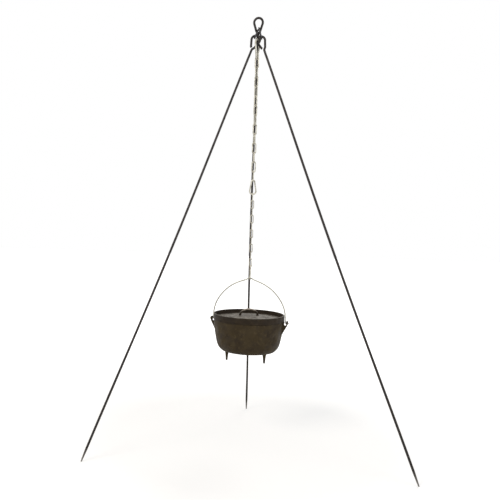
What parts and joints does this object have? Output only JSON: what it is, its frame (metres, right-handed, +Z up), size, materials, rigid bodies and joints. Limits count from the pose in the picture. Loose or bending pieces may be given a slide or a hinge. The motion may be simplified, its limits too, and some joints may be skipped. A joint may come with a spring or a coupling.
{
  "type": "cooking tripod",
  "caption": "Folding campfire cooking tripod of thin steel rods with eyes, a long hanging chain on snap hooks, and a lidded cast-iron pot on its wire bail.",
  "frame": {"origin": "on the ground, in the middle of the box around the three feet", "axes": "+Z up; the back leg stands towards +Y and the two front legs towards -Y, left and right along X"},
  "size_m": [1.064, 0.6994, 1.5125],
  "materials": {
    "rod_paint": "worn dark brown-black paint over mild steel",
    "link_black": "black oxide, slightly glossy",
    "zinc": "dull zinc plating with a warm cast",
    "cast_iron": "seasoned cast iron, mottled brown-black"
  },
  "bodies": {
    "back_leg": {"back_leg": "rod_paint"},
    "left_leg": {"left_leg": "rod_paint"},
    "right_leg": {"right_leg": "rod_paint"},
    "left_oval": {"top_link_left": "link_black"},
    "right_oval": {"top_link_right": "link_black"},
    "upper_hook": {"upper_hook_body": "zinc", "upper_hook_rivet": "zinc"},
    "upper_hook_gate": {"upper_hook_gate": "zinc"},
    "upper_link_01": {"upper_link_01": "zinc"},
    "upper_link_02": {"upper_link_02": "zinc"},
    "upper_link_03": {"upper_link_03": "zinc"},
    "upper_link_04": {"upper_link_04": "zinc"},
    "upper_link_05": {"upper_link_05": "zinc"},
    "upper_link_06": {"upper_link_06": "zinc"},
    "upper_link_07": {"upper_link_07": "zinc"},
    "upper_link_08": {"upper_link_08": "zinc"},
    "upper_link_09": {"upper_link_09": "zinc"},
    "upper_link_10": {"upper_link_10": "zinc"},
    "upper_link_11": {"upper_link_11": "zinc"},
    "upper_link_12": {"upper_link_12": "zinc"},
    "upper_link_13": {"upper_link_13": "zinc"},
    "middle_hook": {"middle_hook_body": "zinc", "middle_hook_rivet": "zinc"},
    "middle_hook_gate": {"middle_hook_gate": "zinc"},
    "lower_link_01": {"lower_link_01": "zinc"},
    "lower_link_02": {"lower_link_02": "zinc"},
    "lower_link_03": {"lower_link_03": "zinc"},
    "lower_link_04": {"lower_link_04": "zinc"},
    "lower_link_05": {"lower_link_05": "zinc"},
    "lower_link_06": {"lower_link_06": "zinc"},
    "lower_link_07": {"lower_link_07": "zinc"},
    "lower_link_08": {"lower_link_08": "zinc"},
    "lower_link_09": {"lower_link_09": "zinc"},
    "lower_link_10": {"lower_link_10": "zinc"},
    "lower_hook": {"lower_hook_body": "zinc", "lower_hook_rivet": "zinc"},
    "lower_hook_gate": {"lower_hook_gate": "zinc"},
    "bail": {"bail": "zinc"},
    "pot": {"pot": "cast_iron"},
    "lid": {"lid": "cast_iron"}
  },
  "joints": [
    {"name": "left_leg_fold", "type": "hinge", "parent": "back_leg", "child": "left_leg", "pos_m": [-0.00077, -0.0724, 1.42225], "axis": [0.7668, -0.5736, -0.2881], "range_deg": [0, 23.5]},
    {"name": "left_oval_swing", "type": "hinge", "parent": "back_leg", "child": "left_oval", "pos_m": [-0.00683, -0.03141, 1.46571], "axis": [-0.9836, -0.0778, 0.1628], "range_deg": [0, 27.8]},
    {"name": "right_leg_fold", "type": "hinge", "parent": "back_leg", "child": "right_leg", "pos_m": [0.01129, -0.00844, 1.43291], "axis": [-0.0475, -0.9988, 0.0119], "range_deg": [-18, 0]},
    {"name": "right_oval_swing", "type": "hinge", "parent": "back_leg", "child": "right_oval", "pos_m": [0.01783, -0.03031, 1.45138], "axis": [0.9073, 0.4063, -0.1083], "range_deg": [-1.38, 0]},
    {"name": "upper_hook_swing", "type": "hinge", "parent": "back_leg", "child": "upper_hook", "pos_m": [-0.00065, -0.04441, 1.4163], "axis": [0.8572, -0.4764, 0.1959], "range_deg": [-1.5, 7.5]},
    {"name": "upper_hook_gate_open", "type": "hinge", "parent": "upper_hook", "child": "upper_hook_gate", "pos_m": [0.00169, -0.03966, 1.37919], "axis": [0.8973, -0.4415, 0], "range_deg": [0, 22], "stiffness_Nm_per_rad": 0.05, "springref_deg": -20.05},
    {"name": "upper_link_01_swing", "type": "hinge", "parent": "upper_hook", "child": "upper_link_01", "pos_m": [-0.00153, -0.0462, 1.3673], "axis": [-0.4415, -0.8973, 0], "range_deg": [-6.5, 6.5]},
    {"name": "upper_link_02_swing", "type": "hinge", "parent": "upper_link_01", "child": "upper_link_02", "pos_m": [-0.00153, -0.0462, 1.3353], "axis": [-0.8973, 0.4415, 0], "range_deg": [-6.8, 6.8]},
    {"name": "upper_link_03_swing", "type": "hinge", "parent": "upper_link_02", "child": "upper_link_03", "pos_m": [-0.00153, -0.0462, 1.3023], "axis": [0.5227, 0.8525, 0], "range_deg": [-7, 7]},
    {"name": "upper_link_04_swing", "type": "hinge", "parent": "upper_link_03", "child": "upper_link_04", "pos_m": [-0.00153, -0.0462, 1.2693], "axis": [0.8004, -0.5995, 0], "range_deg": [-7.3, 7.3]},
    {"name": "upper_link_05_swing", "type": "hinge", "parent": "upper_link_04", "child": "upper_link_05", "pos_m": [-0.00153, -0.0462, 1.2363], "axis": [0.6711, 0.7414, 0], "range_deg": [-7.6, 7.6]},
    {"name": "upper_link_06_swing", "type": "hinge", "parent": "upper_link_05", "child": "upper_link_06", "pos_m": [-0.00153, -0.0462, 1.2033], "axis": [-0.676, 0.7369, 0], "range_deg": [-7.9, 7.9]},
    {"name": "upper_link_07_swing", "type": "hinge", "parent": "upper_link_06", "child": "upper_link_07", "pos_m": [-0.00153, -0.0462, 1.1703], "axis": [-0.7964, -0.6048, 0], "range_deg": [-8.2, 8.2]},
    {"name": "upper_link_08_swing", "type": "hinge", "parent": "upper_link_07", "child": "upper_link_08", "pos_m": [-0.00153, -0.0462, 1.1373], "axis": [0.5284, -0.849, 0], "range_deg": [-8.6, 8.6]},
    {"name": "upper_link_09_swing", "type": "hinge", "parent": "upper_link_08", "child": "upper_link_09", "pos_m": [-0.00153, -0.0462, 1.1043], "axis": [0.8943, 0.4475, 0], "range_deg": [-9, 9]},
    {"name": "upper_link_10_swing", "type": "hinge", "parent": "upper_link_09", "child": "upper_link_10", "pos_m": [-0.00153, -0.0462, 1.0713], "axis": [0.3627, -0.9319, 0], "range_deg": [-9.4, 9.4]},
    {"name": "upper_link_11_swing", "type": "hinge", "parent": "upper_link_10", "child": "upper_link_11", "pos_m": [-0.00153, -0.0462, 1.0383], "axis": [-0.9615, -0.2748, 0], "range_deg": [-9.9, 9.9]},
    {"name": "upper_link_12_swing", "type": "hinge", "parent": "upper_link_11", "child": "upper_link_12", "pos_m": [-0.00153, -0.0462, 1.0053], "axis": [-0.1845, 0.9828, 0], "range_deg": [-10.5, 10.5]},
    {"name": "upper_link_13_swing", "type": "hinge", "parent": "upper_link_12", "child": "upper_link_13", "pos_m": [-0.00153, -0.0462, 0.9723], "axis": [0.9957, 0.0927, 0], "range_deg": [-11.1, 11.1]},
    {"name": "middle_hook_swing", "type": "hinge", "parent": "upper_link_13", "child": "middle_hook", "pos_m": [-0.00153, -0.0462, 0.9393], "axis": [0, -1, 0], "range_deg": [-11.8, 11.8]},
    {"name": "middle_hook_gate_open", "type": "hinge", "parent": "middle_hook", "child": "middle_hook_gate", "pos_m": [0.00488, -0.0462, 0.93358], "axis": [0, 1, 0], "range_deg": [0, 22], "stiffness_Nm_per_rad": 0.05, "springref_deg": -20.05},
    {"name": "lower_link_01_swing", "type": "hinge", "parent": "middle_hook", "child": "lower_link_01", "pos_m": [-0.00153, -0.0462, 0.8941], "axis": [-1, 0, 0], "range_deg": [-12.9, 12.9]},
    {"name": "lower_link_02_swing", "type": "hinge", "parent": "lower_link_01", "child": "lower_link_02", "pos_m": [-0.00153, -0.0462, 0.8692], "axis": [0, 1, 0], "range_deg": [-13.6, 13.6]},
    {"name": "lower_link_03_swing", "type": "hinge", "parent": "lower_link_02", "child": "lower_link_03", "pos_m": [-0.00153, -0.0462, 0.8433], "axis": [1, 0, 0], "range_deg": [-14.4, 14.4]},
    {"name": "lower_link_04_swing", "type": "hinge", "parent": "lower_link_03", "child": "lower_link_04", "pos_m": [-0.00153, -0.0462, 0.8174], "axis": [0, -1, 0], "range_deg": [-15.3, 15.3]},
    {"name": "lower_link_05_swing", "type": "hinge", "parent": "lower_link_04", "child": "lower_link_05", "pos_m": [-0.00153, -0.0462, 0.7915], "axis": [-1, 0, 0], "range_deg": [-16.3, 16.3]},
    {"name": "lower_link_06_swing", "type": "hinge", "parent": "lower_link_05", "child": "lower_link_06", "pos_m": [-0.00153, -0.0462, 0.7656], "axis": [0, 1, 0], "range_deg": [-17.5, 17.5]},
    {"name": "lower_link_07_swing", "type": "hinge", "parent": "lower_link_06", "child": "lower_link_07", "pos_m": [-0.00153, -0.0462, 0.7397], "axis": [1, 0, 0], "range_deg": [-18.9, 18.9]},
    {"name": "lower_link_08_swing", "type": "hinge", "parent": "lower_link_07", "child": "lower_link_08", "pos_m": [-0.00153, -0.0462, 0.7138], "axis": [0, -1, 0], "range_deg": [-20.5, 20.5]},
    {"name": "lower_link_09_swing", "type": "hinge", "parent": "lower_link_08", "child": "lower_link_09", "pos_m": [-0.00153, -0.0462, 0.6879], "axis": [-1, 0, 0], "range_deg": [-22.5, 22.5]},
    {"name": "lower_link_10_swing", "type": "hinge", "parent": "lower_link_09", "child": "lower_link_10", "pos_m": [-0.00153, -0.0462, 0.662], "axis": [0, 1, 0], "range_deg": [-24.8, 24.8]},
    {"name": "lower_hook_swing", "type": "hinge", "parent": "lower_link_10", "child": "lower_hook", "pos_m": [-0.00153, -0.0462, 0.6361], "axis": [1, 0, 0], "range_deg": [-27.8, 27.8]},
    {"name": "lower_hook_gate_open", "type": "hinge", "parent": "lower_hook", "child": "lower_hook_gate", "pos_m": [-0.00153, -0.03979, 0.62988], "axis": [-1, 0, 0], "range_deg": [0, 22], "stiffness_Nm_per_rad": 0.05, "springref_deg": -20.05},
    {"name": "bail_swing", "type": "hinge", "parent": "lower_hook", "child": "bail", "pos_m": [-0.00153, -0.0462, 0.5904], "axis": [0, -1, 0], "range_deg": [-35.3, 35.3]},
    {"name": "pot_tip", "type": "hinge", "parent": "bail", "child": "pot", "pos_m": [-0.00153, -0.0462, 0.4411], "axis": [0.9799, -0.1994, 0], "range_deg": [-100, 100]},
    {"name": "lid_lift", "type": "slide", "parent": "pot", "child": "lid", "axis": [0, 0, 1], "range_m": [0, 0.015]}
  ],
  "couplings": [
    {"joint": "left_oval_swing", "follows": "left_leg_fold", "ratio": 1.1808},
    {"joint": "right_oval_swing", "follows": "right_leg_fold", "ratio": 0.07384}
  ]
}
